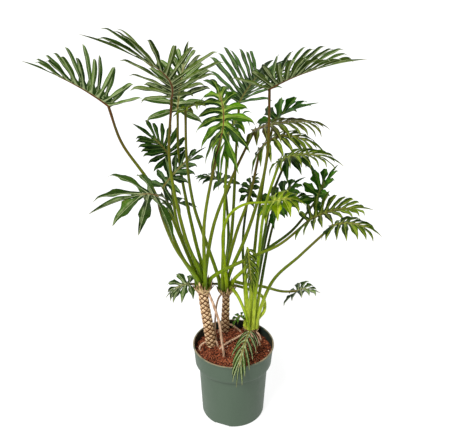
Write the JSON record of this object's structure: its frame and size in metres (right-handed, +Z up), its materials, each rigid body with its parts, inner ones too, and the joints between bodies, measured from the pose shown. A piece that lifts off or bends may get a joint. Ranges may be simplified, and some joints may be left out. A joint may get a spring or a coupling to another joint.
{
  "type": "potted philodendron",
  "caption": "Potted philodendron with deeply cut leaves on scarred stems, growing in a round nursery pot.",
  "frame": {"origin": "centre of the pot's underside, on the surface that it stands on", "axes": "+Z up along the pot's axis; the viewer looks along +Y with +X to the right"},
  "size_m": [0.825, 0.5712, 1.1786],
  "materials": {
    "pot": "satin",
    "soil": "rough",
    "stems": "rough",
    "leaves": "satin"
  },
  "bodies": {
    "root": {"pot": "pot", "soil": "soil", "stem_left": "stems", "stem_back": "stems", "stem_right": "stems", "leaf_upper_left": "leaves", "leaf_top_front": "leaves", "leaf_top_back": "leaves", "leaf_olive_small": "leaves", "leaf_bright_centre": "leaves", "leaf_bright_right": "leaves", "leaf_top_centre": "leaves", "leaf_top_right": "leaves", "leaf_brown": "leaves", "leaf_right_dark": "leaves", "leaf_olive_droop": "leaves", "leaf_light_underside": "leaves", "leaf_dark_arch": "leaves", "leaf_star": "leaves", "leaf_star_low": "leaves", "leaf_young": "leaves", "leaf_back_dark": "leaves", "leaf_back_right": "leaves", "leaf_dark_left": "leaves", "leaf_blue": "leaves", "leaf_left_fan": "leaves", "leaf_left_back": "leaves", "leaf_far_right": "leaves", "leaf_right_upright": "leaves", "leaf_right_low": "leaves", "leaf_small_right": "leaves", "leaf_small_left": "leaves", "leaf_over_rim": "leaves", "leaf_base_dark": "leaves", "leaf_hanging": "leaves"}
  },
  "joints": []
}
